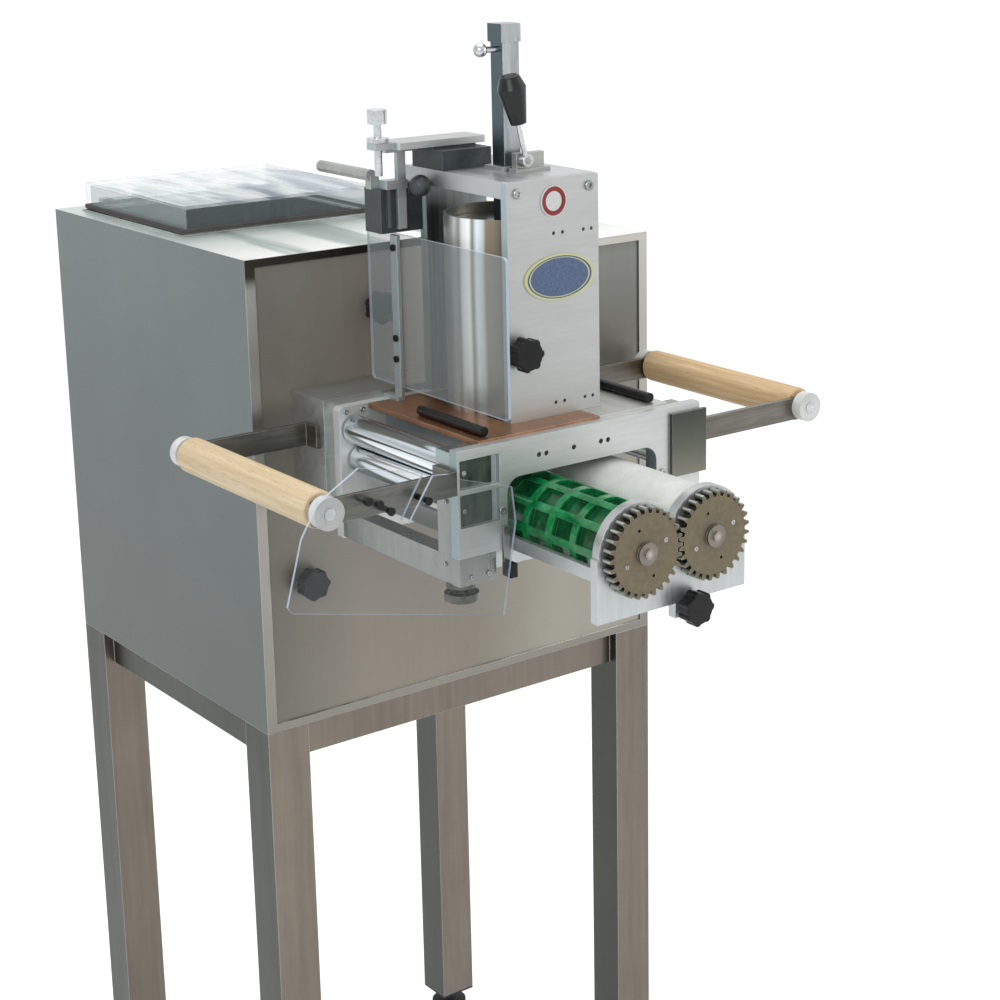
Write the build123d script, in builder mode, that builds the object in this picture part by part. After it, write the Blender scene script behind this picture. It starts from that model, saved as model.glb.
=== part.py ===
# Double-sheet ravioli machine: forming head with a pulled-out die cassette on a floor cabinet.
# Millimetres, +Z up. The drawing origin is on the floor under the middle of the head's front
# portal plate; save() moves every piece so that the row origin is the middle of the footprint.
# +X points to the right of the machine, +Y from the head back into the cabinet.
from build123d import *
import os

os.makedirs("parts", exist_ok=True)

# clearances
seat_gap = 0.3
running_gap = 0.05
slide_gap = 0.4

# heights: every head dimension is measured from the reference level of the portal plate
ref_z = 1050.0

# cabinet
cab_left = -211.0
cab_right = 319.0
cab_front = 285.0
cab_depth = 450.0
cab_bottom = ref_z - 350.0
cab_top = ref_z + 166.0
cab_low_top = ref_z + 137.0
cab_step_x = 95.0
sheet = 2.0
rim_side = 12.0
rim_edge = 9.0
cab_back = cab_front + cab_depth

# stand
leg_size = 50.0
leg_wall = 2.5
rail_height = 40.0
foot_height = 30.0
foot_disc_r = 24.0
foot_disc_h = 8.0
foot_stem_r = 6.0
foot_flange = 3.0
foot_plug = 18.0

# dough tub and its clear lid
tub_left = -192.0
tub_right = 60.0
tub_length = 250.0
tub_back = cab_back - 33.0
tub_front = tub_back - tub_length
tub_depth = 150.0
tub_rim = 12.0
tub_wall = 2.0
tub_bend = 50.0
lid_height = 30.0
lid_wall = 4.0
lid_margin = 6.0
lid_axis_r = 4.0
lid_pin_r = 2.0
knuckle_len = 30.0
hinge_ear_w = 12.0
hinge_ear_back = 8.0
paddle_shaft_r = 11.0
paddle_reach = 62.0
paddle_floor = 16.0
paddle_blade = 14.0
paddle_arms = 4
paddle_first = 24.0
paddle_pitch = 50.0
paddle_end_gap = 4.0
paddle_tail = 10.0

# drive
motor_r = 68.0
motor_length = 210.0
motor_flange_t = 12.0
motor_flange_r = motor_r + 8.0
gearbox_back = 60.0
gearbox_size = 150.0
gearbox_depth = 110.0
gearbox_neck_r = 30.0
gearbox_neck = 14.0
gearbox_socket = 50.0
drive_base_half = 60.0
drive_base_inset = 10.0
drive_shaft_r = 12.0
drive_shaft_hole = 3.0

# star knobs
knob_r = 17.5
knob_lobe_r = 4.2
knob_lobes = 7
knob_height = 14.0
knob_boss_r = 9.0
knob_boss_h = 6.0

# head frame
frame_half = 152.0
plate_t = 12.0
portal_top = ref_z + 15.0
portal_bottom = ref_z - 92.0
opening_half = 94.0
opening_top = ref_z - 22.0
opening_radius = 16.0
window_right = frame_half - 3.0
window_left = window_right - 46.0
window_depth = 6.0
window_bar = 5.0
window_top = ref_z + 5.0
window_mid = ref_z - 24.0
window_bottom = ref_z - 62.0
rear_y = 210.0
rear_bottom = ref_z - 122.0
mount_box_half = 163.0
mount_box_top = ref_z + 24.0
mount_box_bottom = ref_z - 110.0
mount_wall = 3.0

# corner posts and head feet
post_w = 43.0
post_d = 35.0
post_bottom = ref_z - 120.0
side_rail_w = 20.0
head_foot_r = 17.0
head_foot_inset = 14.0
foot_nut_h = 5.0
foot_neck_h = 6.0
foot_neck_r = 7.0
foot_pad_h = 8.0
bracket_left = 112.0
bracket_right = frame_half + 6.0
bracket_t = 4.0
bracket_bottom = ref_z - 59.0
bracket_top = ref_z + 8.0

# feed rollers
feed_r = 15.0
feed_upper_x = frame_half - 18.0
feed_upper_z = ref_z - 8.0
feed_lower_x = feed_upper_x - 6.0
feed_lower_z = ref_z - 40.5
feed_neck_r = 6.0
feed_bearing = 4.0
roller_end_gap = 2.0
feed_axes = ((feed_upper_x, feed_upper_z), (feed_lower_x, feed_lower_z))

# filling head
base_half = 96.0
base_top = ref_z + 12.0
base_bottom = ref_z - 20.0
plate_top = ref_z + 17.0
plate_reach = 118.0
cyl_y = 120.0
cyl_r = 65.0
cyl_wall = 2.5
cyl_seat_depth = 10.0
nozzle_half = 9.0
nozzle_reach = cyl_r - 11.0
cyl_top = ref_z + 215.0
head_half = 56.0
head_front = 44.0
head_t = 10.0
head_top = ref_z + 256.0
beam_t = 17.0
column_half = 38.0
mast_half = 10.0
mast_top = ref_z + 401.0
mast_cap_half = 13.5
mast_cap_h = 18.0
piston_t = 16.0
piston_top = cyl_top - 10.0
piston_gap = 0.35
collar_half = 16.0
collar_h = 5.0

# die cassette, shown pulled out by cassette_out
gear_module = 3.0
gear_teeth = 28
gear_backlash = 0.5
gear_addendum = 0.8
gear_dedendum = 1.15
tooth_root_half = 2.7
tooth_pitch_half = 2.0
tooth_tip_half = 1.2
gear_hole_ring = 25.0
gear_hole_r = 1.8
gear_holes = 4
gear_hole_start = 20
hub_r = 11.0
hub_t = 3.0
hub_nut_r = 5.0
hub_nut_t = 2.0
axle_z = ref_z - 71.0
gear_w = 11.0
axle_x = gear_module * gear_teeth / 2 + gear_backlash / 2
roller_r = axle_x - seat_gap
cassette_out = 125.7
end_t = 10.0
end_front = -seat_gap - end_t - cassette_out
roller_front = end_front + end_t + seat_gap
roller_len = 186.0
roller_back = roller_front + roller_len
rear_end_y = roller_back + seat_gap
end_half = 92.0
end_lobe_r = 47.5
rear_lobe_r = 41.5
rear_foot_half = 74.0
end_bottom = ref_z - 134.0
gear_back = end_front - 1.0
gear_front = gear_back - gear_w
axle_r = 9.0
tie_top = ref_z - 80.0
tie_h = 13.0
tie_t = 6.0
pocket_rows = 10
pocket_cols = 5
pocket_depth = 6.0
pocket_width = 18.0
pocket_rib = 9.0

# dough rolls
roll_x = 299.0
roll_z = ref_z - 14.0
roll_r = 18.0
roll_bore_r = 6.0
cap_len = 12.0
arm_t = 5.0
arm_h = 24.0

# middle of the footprint
flap_left = -349.0
overall_front = end_front - seat_gap - knob_boss_h - knob_height
centre_x = (flap_left + cab_right) / 2
centre_y = (overall_front + cab_back) / 2


def block(x0, x1, y0, y1, z0, z1, mode=Mode.ADD):
    """Box between two corners."""
    with Locations((x0, y0, z0)):
        Box(x1 - x0, y1 - y0, z1 - z0, align=(Align.MIN, Align.MIN, Align.MIN), mode=mode)


def bar_x(x0, x1, y, z, r, mode=Mode.ADD):
    """Round bar along X."""
    with Locations(Location((x0, y, z), (0, 90, 0))):
        Cylinder(r, x1 - x0, align=(Align.CENTER, Align.CENTER, Align.MIN), mode=mode)


def bar_y(x, y0, y1, z, r, mode=Mode.ADD):
    """Round bar along Y."""
    with Locations(Location((x, y0, z), (-90, 0, 0))):
        Cylinder(r, y1 - y0, align=(Align.CENTER, Align.CENTER, Align.MIN), mode=mode)


def bar_z(x, y, z0, z1, r, mode=Mode.ADD):
    """Round bar along Z."""
    with Locations((x, y, z0)):
        Cylinder(r, z1 - z0, align=(Align.CENTER, Align.CENTER, Align.MIN), mode=mode)


def front_plane(y):
    """Sketch plane facing -Y whose local axes are world X and Z."""
    return Plane(origin=(0, y, 0), x_dir=(1, 0, 0), z_dir=(0, -1, 0))


def save(name, builder):
    """Move a finished piece into the row frame and write its file."""
    piece = builder.part.moved(Location((-centre_x, -centre_y, 0)))
    piece.label = name
    export_step(piece, "parts/" + name + ".step")


def star_knob(name, x, y, z):
    """Lobed clamping knob, axis along Y, head towards -Y; y is its seat."""
    face = y - seat_gap
    with BuildPart() as knob:
        bar_y(x, face - knob_boss_h, face, z, knob_boss_r)
        with BuildSketch(front_plane(face - knob_boss_h)) as outline:
            with Locations((x, z)):
                Circle(knob_r - knob_lobe_r / 2)
                with PolarLocations(knob_r - knob_lobe_r, knob_lobes):
                    Circle(knob_lobe_r)
        extrude(amount=knob_height)
        top = knob.faces().sort_by(Axis.Y)[0]
        fillet(top.outer_wire().edges(), 1.2)
    save(name, knob)


def cabinet_outline(inset_side, inset_edge):
    """Front outline of the cabinet with its lower right-hand top, drawn inwards by the insets."""
    left = cab_left + inset_side
    right = cab_right - inset_side
    low = cab_bottom + inset_edge
    high = cab_top - inset_edge
    step = cab_step_x - inset_side
    shoulder = cab_low_top - inset_edge
    Polygon((left, low), (right, low), (right, shoulder), (step, shoulder), (step, high), (left, high),
            align=None)


# ---------------------------------------------------------------- stand
leg_xs = (cab_left + leg_size / 2, cab_right - leg_size / 2)
leg_ys = (cab_front + leg_size / 2, cab_back - leg_size / 2)

with BuildPart() as stand_frame:
    for lx in leg_xs:
        for ly in leg_ys:
            block(lx - leg_size / 2, lx + leg_size / 2, ly - leg_size / 2, ly + leg_size / 2,
                  foot_height, cab_bottom)
    for ly in leg_ys:
        block(leg_xs[0], leg_xs[1], ly - leg_size / 4, ly + leg_size / 4, cab_bottom - rail_height, cab_bottom)
    for lx in leg_xs:
        block(lx - leg_size / 4, lx + leg_size / 4, leg_ys[0], leg_ys[1], cab_bottom - rail_height, cab_bottom)
    inner = leg_size / 2 - leg_wall
    for lx in leg_xs:
        for ly in leg_ys:
            block(lx - inner, lx + inner, ly - inner, ly + inner,
                  foot_height, cab_bottom - rail_height - leg_wall, mode=Mode.SUBTRACT)
save("stand_frame", stand_frame)

with BuildPart() as levelling_feet:
    plug = leg_size / 2 - leg_wall - seat_gap
    for lx in leg_xs:
        for ly in leg_ys:
            bar_z(lx, ly, 0, foot_disc_h, foot_disc_r)
            bar_z(lx, ly, foot_disc_h, foot_height - foot_flange, foot_stem_r)
            block(lx - leg_size / 2, lx + leg_size / 2, ly - leg_size / 2, ly + leg_size / 2,
                  foot_height - foot_flange, foot_height)
            block(lx - plug, lx + plug, ly - plug, ly + plug, foot_height, foot_height + foot_plug)
save("levelling_feet", levelling_feet)

# ---------------------------------------------------------------- cabinet
tub_hole_margin = tub_rim - 4.0
with BuildPart() as cabinet_shell:
    with BuildSketch(front_plane(cab_back)):
        cabinet_outline(0, 0)
    extrude(amount=cab_depth)
    with BuildSketch(front_plane(cab_back - sheet)):
        cabinet_outline(sheet, sheet)
    extrude(amount=cab_depth - 2 * sheet, mode=Mode.SUBTRACT)
    with BuildSketch(front_plane(cab_front + sheet)):
        cabinet_outline(rim_side, rim_edge)
    extrude(amount=sheet, mode=Mode.SUBTRACT)
    block(tub_left + tub_hole_margin, tub_right - tub_hole_margin, tub_front + tub_hole_margin,
          tub_back - tub_hole_margin, cab_top - sheet, cab_top, mode=Mode.SUBTRACT)
save("cabinet_shell", cabinet_shell)

panel_gap = sheet + slide_gap
with BuildPart() as front_panel:
    with BuildSketch(front_plane(cab_front + 2 * sheet)):
        cabinet_outline(panel_gap, panel_gap)
        with Locations((-axle_x, axle_z)):
            Circle(drive_shaft_r + drive_shaft_hole, mode=Mode.SUBTRACT)
    extrude(amount=sheet)
save("front_panel", front_panel)

upper_knob = (-56.0, ref_z + 98.5)
lower_knob = (-153.5, ref_z - 189.0)
panel_face = cab_front + sheet
star_knob("upper_panel_knob", upper_knob[0], panel_face, upper_knob[1])
star_knob("lower_panel_knob", lower_knob[0], panel_face, lower_knob[1])

# ---------------------------------------------------------------- dough tub
tub_mid_x = (tub_left + tub_right) / 2
tub_axis_z = cab_top - tub_depth + paddle_reach + paddle_floor
tub_inset = tub_rim + tub_wall
with BuildPart() as dough_tub:
    block(tub_left, tub_right, tub_front, tub_back, cab_top, cab_top + tub_wall)
    with BuildSketch(front_plane(tub_back - tub_rim)):
        with Locations((tub_mid_x, cab_top + tub_wall)):
            Rectangle(tub_right - tub_left - 2 * tub_rim, tub_depth, align=(Align.CENTER, Align.MAX))
        fillet(vertices().group_by(Axis.Y)[0], tub_bend + tub_wall)
    extrude(amount=tub_back - tub_front - 2 * tub_rim)
    with BuildSketch(front_plane(tub_back - tub_inset)):
        with Locations((tub_mid_x, cab_top + tub_wall)):
            Rectangle(tub_right - tub_left - 2 * tub_inset, tub_depth - tub_wall,
                      align=(Align.CENTER, Align.MAX))
        fillet(vertices().group_by(Axis.Y)[0], tub_bend)
    extrude(amount=tub_back - tub_front - 2 * tub_inset, mode=Mode.SUBTRACT)
    bar_y(tub_mid_x, tub_back - tub_inset, tub_back - tub_rim, tub_axis_z,
          paddle_shaft_r + running_gap, mode=Mode.SUBTRACT)
save("dough_tub", dough_tub)

with BuildPart() as mixing_paddle:
    shaft_start = tub_front + tub_inset + paddle_end_gap
    shaft_end = tub_back - tub_rim + paddle_tail
    bar_y(tub_mid_x, shaft_start, shaft_end, tub_axis_z, paddle_shaft_r)
    for index in range(paddle_arms):
        arm_y = shaft_start + paddle_first + index * paddle_pitch
        with Locations(Location((tub_mid_x, arm_y, tub_axis_z), (0, 45 + 90 * index, 0))):
            Box(paddle_blade, paddle_blade, paddle_reach, align=(Align.CENTER, Align.CENTER, Align.MIN))
save("mixing_paddle", mixing_paddle)

lid_z = cab_top + tub_wall + seat_gap
lid_hinge_z = lid_z + lid_axis_r
lid_hinge_y = tub_back + lid_axis_r + 2
lid_knuckles = (tub_left + 40, tub_right - 70)
with BuildPart() as tub_lid:
    block(tub_left + lid_margin, tub_right - lid_margin, tub_front + lid_margin, tub_back,
          lid_z, lid_z + lid_height)
    block(tub_left + lid_margin + lid_wall, tub_right - lid_margin - lid_wall,
          tub_front + lid_margin + lid_wall, tub_back - lid_wall, lid_z, lid_z + lid_height - lid_wall,
          mode=Mode.SUBTRACT)
    for knuckle in lid_knuckles:
        knuckle_end = knuckle + knuckle_len
        block(knuckle, knuckle_end, tub_back - 1, lid_hinge_y, lid_z, lid_hinge_z + lid_axis_r)
        bar_x(knuckle, knuckle_end, lid_hinge_y, lid_hinge_z, lid_axis_r)
        bar_x(knuckle, knuckle_end, lid_hinge_y, lid_hinge_z, lid_pin_r + running_gap, mode=Mode.SUBTRACT)
save("tub_lid", tub_lid)

with BuildPart() as lid_hinges:
    for knuckle in lid_knuckles:
        left_ear = knuckle - slide_gap - hinge_ear_w
        right_ear = knuckle + knuckle_len + slide_gap
        for ear in (left_ear, right_ear):
            block(ear, ear + hinge_ear_w, lid_hinge_y - lid_axis_r, lid_hinge_y + hinge_ear_back,
                  cab_top, lid_hinge_z + lid_axis_r)
        bar_x(left_ear, right_ear + hinge_ear_w, lid_hinge_y, lid_hinge_z, lid_pin_r)
save("lid_hinges", lid_hinges)

# ---------------------------------------------------------------- drive inside the cabinet
drive_y = cab_front + gearbox_back
gearbox_end = drive_y + gearbox_depth
gearbox_half = gearbox_size / 2
with BuildPart() as drive_unit:
    block(-axle_x - gearbox_half, -axle_x + gearbox_half, drive_y, gearbox_end,
          axle_z - gearbox_half, axle_z + gearbox_half)
    bar_y(-axle_x, drive_y - gearbox_neck, drive_y, axle_z, gearbox_neck_r)
    bar_y(-axle_x, gearbox_end, gearbox_end + motor_flange_t, axle_z, motor_flange_r)
    bar_y(-axle_x, gearbox_end + motor_flange_t, gearbox_end + motor_length, axle_z, motor_r)
    block(-axle_x - drive_base_half, -axle_x + drive_base_half, drive_y + drive_base_inset,
          gearbox_end - drive_base_inset, cab_bottom + sheet, axle_z - gearbox_half)
    bar_y(-axle_x, drive_y - gearbox_neck, drive_y + gearbox_socket, axle_z,
          drive_shaft_r + running_gap, mode=Mode.SUBTRACT)
save("drive_unit", drive_unit)

with BuildPart() as drive_shaft:
    bar_y(-axle_x, rear_y - 1, drive_y + gearbox_socket - roller_end_gap, axle_z, drive_shaft_r)
save("drive_shaft", drive_shaft)

# ---------------------------------------------------------------- head frame
panel_front = cab_front + sheet
rear_back = rear_y + plate_t
with BuildPart() as mount_box:
    block(-mount_box_half, mount_box_half, rear_back, panel_front, mount_box_bottom, mount_box_top)
    block(-mount_box_half + mount_wall, mount_box_half - mount_wall, rear_back + mount_wall, panel_front,
          mount_box_bottom + mount_wall, mount_box_top - mount_wall, mode=Mode.SUBTRACT)
    bar_y(-axle_x, rear_back, rear_back + mount_wall, axle_z, drive_shaft_r + drive_shaft_hole,
          mode=Mode.SUBTRACT)
save("mount_box", mount_box)

with BuildPart() as rear_plate:
    block(-frame_half, frame_half, rear_y, rear_back, rear_bottom, portal_top + 2)
    bar_y(-axle_x, rear_y, rear_back, axle_z, drive_shaft_r + running_gap, mode=Mode.SUBTRACT)
    for sign in (-1, 1):
        for fx, fz in feed_axes:
            bar_y(sign * fx, rear_y, rear_back, fz, feed_neck_r + running_gap, mode=Mode.SUBTRACT)
    chamfer(rear_plate.edges().filter_by(Axis.Y).group_by(Axis.Z)[-1], 4)
save("rear_plate", rear_plate)

hole_xs = (-55.0, -46.0, -12.0, 22.0, 31.0)
hole_z = ref_z - 5.0
screw_hole_r = 2.6
with BuildPart() as portal_plate:
    with BuildSketch(front_plane(plate_t)):
        with Locations((0, (portal_bottom + portal_top) / 2)):
            Rectangle(2 * frame_half, portal_top - portal_bottom)
        with Locations((0, (portal_bottom + opening_top) / 2)):
            Rectangle(2 * opening_half, opening_top - portal_bottom, mode=Mode.SUBTRACT)
    extrude(amount=plate_t)
    corner = portal_plate.edges().filter_by(Axis.Y).filter_by_position(
        Axis.Z, opening_top - 1, opening_top + 1)
    fillet(corner, opening_radius)
    block(-window_right, -window_left, 0, window_depth, window_mid, window_top, mode=Mode.SUBTRACT)
    block(-window_right, -window_left, 0, window_depth, window_bottom, window_mid - window_bar,
          mode=Mode.SUBTRACT)
    for sign in (-1, 1):
        for fx, fz in feed_axes:
            bar_y(sign * fx, plate_t - feed_bearing, plate_t, fz, feed_neck_r + running_gap,
                  mode=Mode.SUBTRACT)
    for hx in hole_xs:
        bar_y(hx, 0, plate_t, hole_z, screw_hole_r, mode=Mode.SUBTRACT)
save("portal_plate", portal_plate)

latch_x0 = -frame_half + 50.5
latch_w = 8.0
latch_z = ref_z - 112.0
latch_strip_t = 3.0
latch_strip_bottom = latch_z + 8.0
latch_strip_top = latch_z + 44.0
bracket_corner = 8.0
latch_grip_y = -14.0
latch_grip_h = 14.0
with BuildPart() as corner_posts:
    for sign in (-1, 1):
        x0 = -frame_half if sign < 0 else frame_half - post_w
        block(x0, x0 + post_w, 0, post_d, post_bottom, portal_bottom)
        block(x0, x0 + post_w, plate_t, post_d, portal_bottom - 1, base_top - seat_gap)
        rail_x = -frame_half if sign < 0 else frame_half - side_rail_w
        block(rail_x, rail_x + side_rail_w, post_d - 1, rear_y, post_bottom, portal_bottom)
        for fx, fz in feed_axes:
            bar_y(sign * fx, plate_t, post_d, fz, feed_neck_r + running_gap, mode=Mode.SUBTRACT)
    block(bracket_left, bracket_right, -bracket_t, 0, bracket_bottom, bracket_top)
    chamfer(corner_posts.edges().filter_by(Axis.Y).group_by(Axis.Z)[-1].sort_by(Axis.X)[-1],
            bracket_corner)
    block(latch_x0, latch_x0 + latch_w, -latch_strip_t, 0, latch_strip_bottom, latch_strip_top)
save("corner_posts", corner_posts)

with BuildPart() as head_feet:
    for sign in (-1, 1):
        foot_x = sign * (frame_half - head_foot_inset)
        neck_top = post_bottom - foot_nut_h
        pad_top = neck_top - foot_neck_h
        bar_z(foot_x, post_d / 2, neck_top, post_bottom, head_foot_r - 2)
        bar_z(foot_x, post_d / 2, pad_top, neck_top, foot_neck_r)
        bar_z(foot_x, post_d / 2, pad_top - foot_pad_h, pad_top, head_foot_r)
save("head_feet", head_feet)

portal_bolt_x = 101.0
portal_bolt_z = ref_z - 52.0
portal_bolt_h = 3.0
portal_bolt_r = 4.0
plate_bolt_x = 44.0
plate_bolt_drop = 12.0
plate_bolt_h = 2.5
plate_bolt_r = 5.0
rear_bolt_insets = (8.0, 28.0)
rear_bolt_z = ref_z + 11.5
rear_bolt_h = 1.6
rear_bolt_r = 3.0
with BuildPart() as frame_bolts:
    for sign in (-1, 1):
        bar_y(sign * portal_bolt_x, -portal_bolt_h, 0, portal_bolt_z, portal_bolt_r)
        bar_y(sign * plate_bolt_x, head_front - plate_bolt_h, head_front, head_top - plate_bolt_drop,
              plate_bolt_r)
        for inset in rear_bolt_insets:
            bar_y(sign * (frame_half - inset), rear_y - rear_bolt_h, rear_y, rear_bolt_z, rear_bolt_r)
save("frame_bolts", frame_bolts)

feed_names = ("feed_roller_left_upper", "feed_roller_left_lower",
              "feed_roller_right_upper", "feed_roller_right_lower")
feed_places = ((-feed_upper_x, feed_upper_z), (-feed_lower_x, feed_lower_z),
               (feed_upper_x, feed_upper_z), (feed_lower_x, feed_lower_z))
for feed_name, (fx, fz) in zip(feed_names, feed_places):
    with BuildPart() as feed_roller:
        bar_y(fx, post_d + roller_end_gap, rear_y - roller_end_gap, fz, feed_r)
        bar_y(fx, plate_t - feed_bearing + seat_gap, rear_back - roller_end_gap, fz, feed_neck_r)
    save(feed_name, feed_roller)

# ---------------------------------------------------------------- filling head
with BuildPart() as filling_base:
    block(-base_half, base_half, plate_t, rear_y, base_bottom, base_top)
    bar_z(0, cyl_y, base_top - cyl_seat_depth, base_top, cyl_r - cyl_wall, mode=Mode.SUBTRACT)
    block(-nozzle_half, nozzle_half, cyl_y - nozzle_reach, cyl_y + nozzle_reach, base_bottom, base_top,
          mode=Mode.SUBTRACT)
save("filling_base", filling_base)

with BuildPart() as guide_table:
    block(-plate_reach, plate_reach, plate_t, rear_y - rear_bolt_h - seat_gap, base_top, plate_top)
    bar_z(0, cyl_y, base_top, plate_top, cyl_r + seat_gap, mode=Mode.SUBTRACT)
    block(-head_half - seat_gap, head_half + seat_gap, head_front - seat_gap, cyl_y - cyl_r / 2,
          base_top, plate_top, mode=Mode.SUBTRACT)
save("guide_table", guide_table)

seal_x = 104.0
seal_r = 5.0
seal_front = 22.0
seal_back = 132.0
with BuildPart() as seal_bars:
    for sign in (-1, 1):
        bar_y(sign * seal_x, seal_front, seal_back, plate_top + seal_r, seal_r)
save("seal_bars", seal_bars)

with BuildPart() as filling_cylinder:
    bar_z(0, cyl_y, base_top, cyl_top, cyl_r)
    bar_z(0, cyl_y, base_top, cyl_top, cyl_r - cyl_wall, mode=Mode.SUBTRACT)
save("filling_cylinder", filling_cylinder)

with BuildPart() as piston:
    bar_z(0, cyl_y, piston_top - piston_t, piston_top, cyl_r - cyl_wall - piston_gap)
    fillet(piston.edges().group_by(Axis.Z)[-1], 2)
save("piston", piston)

pin_hole_r = 3.2
rod_pin_r = 3.0
rod_pin_reach = 26.0
rod_ball_x = -31.0
rod_ball_r = 7.0
rod_pin_y = cyl_y - 2.0
rod_pin_z = ref_z + 376.0
with BuildPart() as piston_rod:
    block(-mast_half, mast_half, cyl_y - mast_half, cyl_y + mast_half, piston_top, mast_top - mast_cap_h)
    block(-mast_cap_half, mast_half, cyl_y - mast_cap_half, cyl_y + mast_half,
          mast_top - mast_cap_h, mast_top)
    bar_x(-mast_half - 1, mast_half + 1, rod_pin_y, rod_pin_z, pin_hole_r, mode=Mode.SUBTRACT)
save("piston_rod", piston_rod)

with BuildPart() as rod_pin:
    bar_x(-rod_pin_reach, mast_half - 1, rod_pin_y, rod_pin_z, rod_pin_r)
    with Locations((rod_ball_x, rod_pin_y, rod_pin_z)):
        Sphere(rod_ball_r, rotation=(0, 90, 0))
save("rod_pin", rod_pin)

plate_hole_xs = (0.0, 11.0, 37.0, 47.0)
plate_hole_zs = (ref_z + 30.0, ref_z + 201.0)
plate_hole_r = 1.9
with BuildPart() as head_front_plate:
    block(-head_half, head_half, head_front, head_front + head_t, base_top, head_top)
    fillet(head_front_plate.edges().filter_by(Axis.Y).group_by(Axis.Z)[-1], 3)
    for hx in plate_hole_xs:
        for hz in plate_hole_zs:
            bar_y(hx, head_front, head_front + head_t, hz, plate_hole_r, mode=Mode.SUBTRACT)
save("head_front_plate", head_front_plate)

rod_clear = mast_half + slide_gap
with BuildPart() as head_beam:
    block(-head_half, head_half, head_front + head_t, rear_back, head_top - beam_t, head_top)
    block(-collar_half, collar_half, cyl_y - collar_half, cyl_y + collar_half, head_top, head_top + collar_h)
    block(-rod_clear, rod_clear, cyl_y - rod_clear, cyl_y + rod_clear, head_top - beam_t,
          head_top + collar_h, mode=Mode.SUBTRACT)
save("head_beam", head_beam)

with BuildPart() as rear_column:
    block(-column_half, column_half, rear_y, rear_back, portal_top + 2, head_top - beam_t)
save("rear_column", rear_column)

badge_centre = (6.0, ref_z + 157.0)
badge_a = 43.0
badge_b = 23.0
badge_rim = 3.2
badge_t = 1.0
badge_rim_h = 0.4
with BuildPart() as badge:
    with BuildSketch(front_plane(head_front)):
        with Locations(badge_centre):
            Ellipse(badge_a, badge_b)
    extrude(amount=badge_t)
    with BuildSketch(front_plane(head_front - badge_t)):
        with Locations(badge_centre):
            Ellipse(badge_a, badge_b)
            Ellipse(badge_a - badge_rim, badge_b - badge_rim, mode=Mode.SUBTRACT)
    extrude(amount=badge_rim_h)
save("badge", badge)

sign_z = ref_z + 233.0
sign_r = 15.5
sign_inner_r = 11.5
sign_t = 0.8
sign_rim_h = 0.4
with BuildPart() as round_disc:
    bar_y(0, head_front - sign_t, head_front, sign_z, sign_r)
    bar_y(0, head_front - sign_t - sign_rim_h, head_front - sign_t, sign_z, sign_r)
    bar_y(0, head_front - sign_t - sign_rim_h, head_front - sign_t, sign_z, sign_inner_r,
          mode=Mode.SUBTRACT)
save("round_disc", round_disc)

head_knob = (-45.5, ref_z + 88.0)
star_knob("head_knob", head_knob[0], head_front, head_knob[1])

# clamping lever on top of the head
lever_x = 1.0
lever_y = 90.0
lever_z = head_top + 12.0
lever_tilt = -12.5
lever_pin_r = 3.0
lever_foot_t = 4.0
lever_cheek_back = lever_y + 12.0
lever_eye_r = 6.5
lever_eye_front = lever_y - 5.0
lever_rod_y = lever_y - 1.0
lever_rod_r = 2.6
lever_rod = 38.0
grip_foot_r = 8.0
grip_r = 14.5
grip_end_r = 9.5
grip_len = 36.0
grip_cap = 13.0
with BuildPart() as lever_base:
    block(lever_x - 12, lever_x + 30, lever_y - 1, lever_cheek_back, head_top, head_top + lever_foot_t)
    block(lever_x - 8, lever_x + 26, lever_y + 4, lever_cheek_back, head_top + lever_foot_t, lever_z + 7)
    bar_y(lever_x, lever_y - 6, lever_y + 5, lever_z, lever_pin_r)
save("lever_base", lever_base)

lever_axis = Location((lever_x, lever_rod_y, lever_z), (0, lever_tilt, 0))
with BuildPart() as clamp_lever:
    bar_y(lever_x, lever_eye_front, lever_y + 3.5, lever_z, lever_eye_r)
    with Locations(lever_axis):
        Cylinder(lever_rod_r, lever_rod, align=(Align.CENTER, Align.CENTER, Align.MIN))
    bar_y(lever_x, lever_y - 6, lever_y + 4, lever_z, lever_pin_r + running_gap, mode=Mode.SUBTRACT)
save("clamp_lever", clamp_lever)

with BuildPart() as lever_grip:
    with Locations(lever_axis):
        with Locations((0, 0, lever_rod)):
            Cone(grip_foot_r, grip_r, grip_len, align=(Align.CENTER, Align.CENTER, Align.MIN))
        with Locations((0, 0, lever_rod + grip_len)):
            Cone(grip_r, grip_end_r, grip_cap, align=(Align.CENTER, Align.CENTER, Align.MIN))
    fillet(lever_grip.edges().filter_by(GeomType.CIRCLE).group_by(Axis.Z)[-1], 4)
save("lever_grip", lever_grip)

# level adjuster at the rear left of the head
adj_z = head_top + 23.0
adj_plate_t = 7.0
adj_left = -98.0
adj_front = 166.0
adj_back = 204.0
screw_x = -110.0
screw_y = 185.0
screw_r = 4.0
screw_tab_half = 8.0
clamp_x = -80.0
clamp_half = 5.0
clamp_top = ref_z + 246.0
clamp_z = ref_z + 237.0
hang_z = ref_z + 192.0
clamp_right = -73.0
hanger_back = adj_back - 9.0
hanger_front = adj_back - 14.0
with BuildPart() as adjuster_plate:
    block(adj_left, 8, adj_front, adj_back, adj_z, adj_z + adj_plate_t)
    fillet(adjuster_plate.edges().filter_by(Axis.Z), 3)
    block(screw_x - screw_tab_half, adj_left + 1, screw_y - screw_tab_half, screw_y + screw_tab_half,
          adj_z, adj_z + adj_plate_t)
    block(adj_left, -62, adj_front + 24, adj_back, adj_z - 5, adj_z)
    block(clamp_x - clamp_half, clamp_x + clamp_half, hanger_front, hanger_back, hang_z + 4, adj_z)
    block(adj_left, clamp_right, hanger_front, adj_back, clamp_z, clamp_top)
    bar_z(screw_x, screw_y, adj_z, adj_z + adj_plate_t, screw_r + running_gap, mode=Mode.SUBTRACT)
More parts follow.
